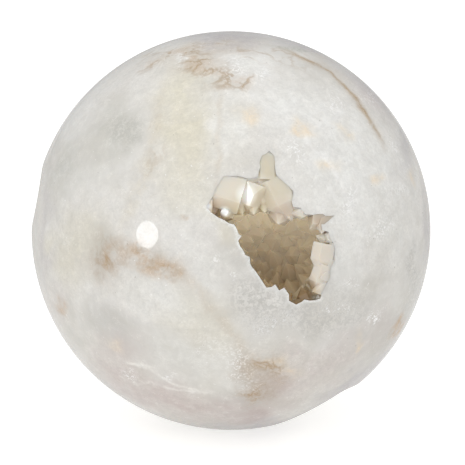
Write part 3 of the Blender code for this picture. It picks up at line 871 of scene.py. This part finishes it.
def addLyingCrystals(bm):
    for at, depth, direction, tilt, radius, length, thin in crystals["lying"]:
        place = photoPoint(*at, depth * mm)
        if tilt:
            facing = ((place - ballCentre).normalized() + frontVector(*tilt, 0.0)).normalized()
        else:
            facing = ((eye - place).normalized() + (lampPlace() - place).normalized()).normalized()
        along = frontVector(direction[0], -direction[1], 0.0)
        along = (along - facing * along.dot(facing)).normalized()
        radius, length = radius * mm, length * mm
        middle = place - facing * radius * thin * math.cos(math.pi / 6.0)
        around = along.to_track_quat("Z", "Y").to_matrix().inverted() @ facing
        spin = math.atan2(around.y, around.x)
        addCrystal(bm, middle - along * length / 2.0, along, radius, length, spin, thin)


crystalLook = {
    "rim": "#e2dbcd",
    "shallow": "#dfd3ba",
    "high": "#f7f0e2",               # the hollow's top, painted light, and its floor, in painted shade and holding more iron
    "low": "#bba581",
    "shallowDepth": (1.5 * mm, 6.0 * mm),
    "deepDepth": (6.0 * mm, 16.0 * mm),
    "floorAndTop": (-17.0 * mm, 5.0 * mm),     # heights beside the ball's centre
    "cloudSize": 6.0 * mm,
    "cloudReach": 2.0 * mm,          # the cloud moves the depths by up to this
    "glow": "#eadfc8",               # painted glow, standing in for light that has come through the stone round the hollow
    "glowStrength": (0.0, 0.165),    # at the floor and at the top
    "glowDepth": (4.0 * mm, 13.0 * mm),
    "roughness": 0.08,
    "subsurface": 0.75,
    "subsurfaceReach": 3.2 * mm,
    # crystals coloured apart from the rest, by stains, painted shade and painted highlights: pixel,
    # depth, full and faded reach in mm, colour and strength
    "tints": [
        ((214, 211), 2.0, 1.0, 5.0, "#cdab85", 0.6),
        ((324, 262), 1.0, 5.0, 10.0, "#dcd5cb", 0.7),
        ((322, 218), 1.0, 2.0, 5.0, "#bfac97", 0.75),
        ((281, 212), 3.0, 2.0, 5.0, "#cbbbaa", 0.8),
        ((262, 200), 3.0, 2.0, 5.0, "#d2c5a8", 0.7),
        ((236, 209), 3.5, 2.0, 5.0, "#cfc0a2", 0.7),
        # painted shade, where iron also tans the crystals: these three darken the hollow towards its
        # lower right
        ((244, 242), 3.5, 3.0, 9.0, "#c2b08e", 0.8),
        ((264, 277), 4.0, 4.0, 9.0, "#ae9772", 0.8),
        ((297, 293), 3.5, 4.0, 6.5, "#a68c68", 0.9),
        ((280, 185), 0.5, 2.5, 4.8, "#cfc6b0", 0.5),
        ((267, 165), 0.5, 2.5, 4.5, "#cdc3a9", 0.55),
        # painted highlights: these three whiten the facets that mirror the key lamp
        ((246, 195), 0.8, 1.2, 3.2, "#fbfaf5", 0.9),
        ((224.5, 212), 1.7, 0.8, 1.8, "#fbfaf5", 0.9),
        ((208.5, 206.5), 0.6, 0.5, 1.2, "#fbfaf5", 0.9),
    ],
}


def crystalMaterial():
    # quartz crystals, glassy on every face, tanned by iron deeper in the hollow and painted in shade
    # towards its floor, with a painted glow towards its top that stands in for light coming through the
    # stone
    material, add = newMaterial("tanQuartzCrystal")
    look = crystalLook
    place = add("ShaderNodeTexCoord", output="Object")
    reach = add("ShaderNodeVectorMath", {0: place, 1: ballCentre}, "Value", operation="DISTANCE")
    depth = add("ShaderNodeMath", {0: ballRadius, 1: reach}, operation="SUBTRACT")
    cloud = add("ShaderNodeTexNoise", {"Vector": place, "Scale": 1.0 / look["cloudSize"], "Detail": 3.0})
    height = add("ShaderNodeVectorMath", {0: place, 1: frontUp}, "Value", operation="DOT_PRODUCT")
    level = add("ShaderNodeMapRange", {
        "Value": height, "From Min": ballCentre.dot(frontUp) + look["floorAndTop"][0],
        "From Max": ballCentre.dot(frontUp) + look["floorAndTop"][1],
    })
    unsteady = add("ShaderNodeMapRange", {
        "Value": cloud, "From Min": 0.3, "From Max": 0.7,
        "To Min": -look["cloudReach"], "To Max": look["cloudReach"],
    })
    uneven = add("ShaderNodeMath", {0: depth, 1: unsteady}, operation="ADD")
    shallow, deep, inside = (
        add("ShaderNodeMapRange", {"Value": value, "From Min": start, "From Max": end})
        for value, (start, end) in (
            (uneven, look["shallowDepth"]), (uneven, look["deepDepth"]), (depth, look["glowDepth"]),
        )
    )
    colour = add("ShaderNodeMix", {
        "Factor": shallow, 6: linear(look["rim"]), 7: linear(look["shallow"]),
    }, 2, data_type="RGBA")
    inner = add("ShaderNodeMix", {
        "Factor": level, 6: linear(look["low"]), 7: linear(look["high"]),
    }, 2, data_type="RGBA")
    colour = add("ShaderNodeMix", {"Factor": deep, 6: colour, 7: inner}, 2, data_type="RGBA")
    for at, sunk, full, reach, tone, strength in look["tints"]:
        middle = photoPoint(*at, sunk * mm)
        away = add("ShaderNodeVectorMath", {0: place, 1: middle}, "Value", operation="DISTANCE")
        here = add("ShaderNodeMapRange", {
            "Value": away, "From Min": full * mm, "From Max": reach * mm,
            "To Min": strength, "To Max": 0.0,
        })
        colour = add("ShaderNodeMix", {"Factor": here, 6: colour, 7: linear(tone)}, 2, data_type="RGBA")
    glow = add("ShaderNodeMapRange", {
        "Value": level, "To Min": look["glowStrength"][0], "To Max": look["glowStrength"][1],
    })
    glowHere = add("ShaderNodeMath", {0: glow, 1: inside}, operation="MULTIPLY")
    shader = add("ShaderNodeBsdfPrincipled", {
        "Base Color": colour, "Roughness": look["roughness"], "IOR": quartzIor,
        "Subsurface Weight": look["subsurface"], "Subsurface Radius": (1.0, 0.8, 0.55),
        "Subsurface Scale": look["subsurfaceReach"],
        "Emission Color": linear(look["glow"]), "Emission Strength": glowHere,
    })
    add("ShaderNodeOutputMaterial", {"Surface": shader}, None)
    return material


def makeStone(edge, throat):
    cutter = newPiece("hollowCutter", hollowSolid(edge, 0.0), False)
    bm = makeBall(ballRadius, ball["subdivisions"], True)
    cutFoot(bm)
    stone = newPiece("stoneBall", bm, True)
    stone.data.materials.append(stoneMaterial())
    stone.data.materials.append(footMaterial())
    boolean(stone, cutter, "DIFFERENCE")
    applyModifiers(stone)
    bpy.data.objects.remove(cutter)
    stone.data.set_sharp_from_angle(angle=math.radians(ball["sharpAngle"]))
    paintMarks(stone)
    paintEdge(stone, edge, throat)
    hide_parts("stone_sphere")
    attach(stone, "root")
    print("stone ball:", len(stone.data.polygons), "faces")


def solidVolume(piece):
    bm = bmesh.new()
    bm.from_mesh(piece.data)
    volume = bm.calc_volume(signed=True)
    bm.free()
    return volume


def makeCrust(edge, throat):
    trim = makeBall(ballRadius - hollow["faceStep"], ball["trimSubdivisions"], False)
    face = newPiece("crustFace", trim, False)
    opening = newPiece("throatForm", throatSolid(edge, throat), False)
    wall = bmesh.new()
    wall.from_mesh(opening.data)
    grown = makeCrystals(wall, edge, throat)
    addLyingCrystals(grown)
    wall.free()
    points = newPiece("crystalForms", grown, False)
    crust = newPiece("crystalCrust", hollowSolid(edge, -hollow["crustSeat"]), False)
    boolean(crust, opening, "DIFFERENCE")
    applyModifiers(crust)
    boolean(crust, points, "UNION", True)
    applyModifiers(crust)
    boolean(crust, face, "INTERSECT")
    applyModifiers(crust)
    for helper in (face, opening, points):
        bpy.data.objects.remove(helper)
    crust.data.materials.append(crystalMaterial())
    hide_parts("crystal_crust")
    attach(crust, "root")
    print("crystal crust:", len(crust.data.polygons), "faces,", round(solidVolume(crust) * 1e9), "mm3")


# a pale floor, a soft room that is brightest in front and above, and one nearly round softbox
studio = {
    "floorSize": 6.0,
    "floor": "#d9d8d6",
    "floorLit": 0.30,                # painted pool of light: the floor glows round the ball, as if lit from below
    "litRing": (0.04, 0.26),         # from the ball's foot to where that light ends
    "floorWhite": 0.58,              # and is burnt out to near white for the camera
    "roomFront": 1.1,
    "roomBack": 0.5,
    "roomLean": (0.08, 0.0, 0.6),    # turns the brightest side up from the camera
    "roomTurn": (-0.6, 0.8),         # cosines from that side where it is dimmest and brightest
}


def makeStudio():
    bm = bmesh.new()
    bmesh.ops.create_grid(bm, x_segments=1, y_segments=1, size=studio["floorSize"] / 2.0)
    floor = newPiece("floor", bm, False)
    material, add = newMaterial("paleFloor")
    place = add("ShaderNodeTexCoord", output="Object")
    away = add("ShaderNodeVectorMath", {0: place}, "Value", operation="LENGTH")
    lit = add("ShaderNodeMapRange", {
        "Value": away, "From Min": studio["litRing"][0], "From Max": studio["litRing"][1],
        "To Min": studio["floorLit"], "To Max": 0.0,
    }, interpolation_type="SMOOTHSTEP")
    seen = add("ShaderNodeLightPath", output="Is Camera Ray")
    white = add("ShaderNodeMix", {"Factor": seen, 2: lit, 3: studio["floorWhite"]}, data_type="FLOAT")
    shader = add("ShaderNodeBsdfPrincipled", {
        "Base Color": linear(studio["floor"]), "Roughness": 0.9, "Specular IOR Level": 0.1,
        "Emission Color": (1, 1, 1, 1), "Emission Strength": white,
    })
    add("ShaderNodeOutputMaterial", {"Surface": shader}, None)
    floor.data.materials.append(material)

    world = bpy.data.worlds.new("paleRoom")
    bpy.context.scene.world = world
    world.use_nodes = True
    world.node_tree.nodes.clear()
    add = partial(addNode, world.node_tree)
    direction = add("ShaderNodeTexCoord", output="Generated")
    bright = (frontOut + Vector(studio["roomLean"])).normalized()
    facing = add("ShaderNodeVectorMath", {0: direction, 1: bright}, "Value", operation="DOT_PRODUCT")
    strength = add("ShaderNodeMapRange", {
        "Value": facing, "From Min": studio["roomTurn"][0], "From Max": studio["roomTurn"][1],
        "To Min": studio["roomBack"], "To Max": studio["roomFront"],
    }, interpolation_type="SMOOTHSTEP")
    glow = add("ShaderNodeBackground", {"Color": (1, 1, 1, 1), "Strength": strength})
    add("ShaderNodeOutputWorld", {"Surface": glow}, None)

    lamp = bpy.data.lights.new("softbox", "AREA")
    lamp.shape = "ELLIPSE"
    lamp.size = key["width"]
    lamp.size_y = key["height"]
    lamp.energy = key["radiance"] * math.pi * math.pi / 4.0 * lamp.size * lamp.size_y
    softbox = bpy.data.objects.new("softbox", lamp)
    softbox.location = lampPlace()
    softbox.rotation_euler = (lampPlace() - photoPoint(*key["mirror"])).to_track_quat("Z", "Y").to_euler()
    bpy.context.scene.collection.objects.link(softbox)
    print("studio ready")


def makeCamera():
    scene = bpy.context.scene
    lens = bpy.data.cameras.new("camera")
    lens.sensor_width = 36.0
    lens.lens = lens.sensor_width / view["side"] * view["radius"] / limbSlope
    lens.shift_x = (view["side"] / 2.0 - view["centre"][0]) / view["side"]
    lens.shift_y = (view["centre"][1] - view["side"] / 2.0) / view["side"]
    lens.clip_start = 0.01
    camera = bpy.data.objects.new("camera", lens)
    camera.location = eye
    camera.rotation_euler = frontOut.to_track_quat("Z", "Y").to_euler()
    scene.collection.objects.link(camera)
    scene.camera = camera
    scene.view_settings.view_transform = "Standard"
    print("camera ready")


makeCamera()
makeStudio()
polishedEdge, throatEdge = chippedEdge(hollow["rim"])
makeStone(polishedEdge, throatEdge)
makeCrust(polishedEdge, throatEdge)
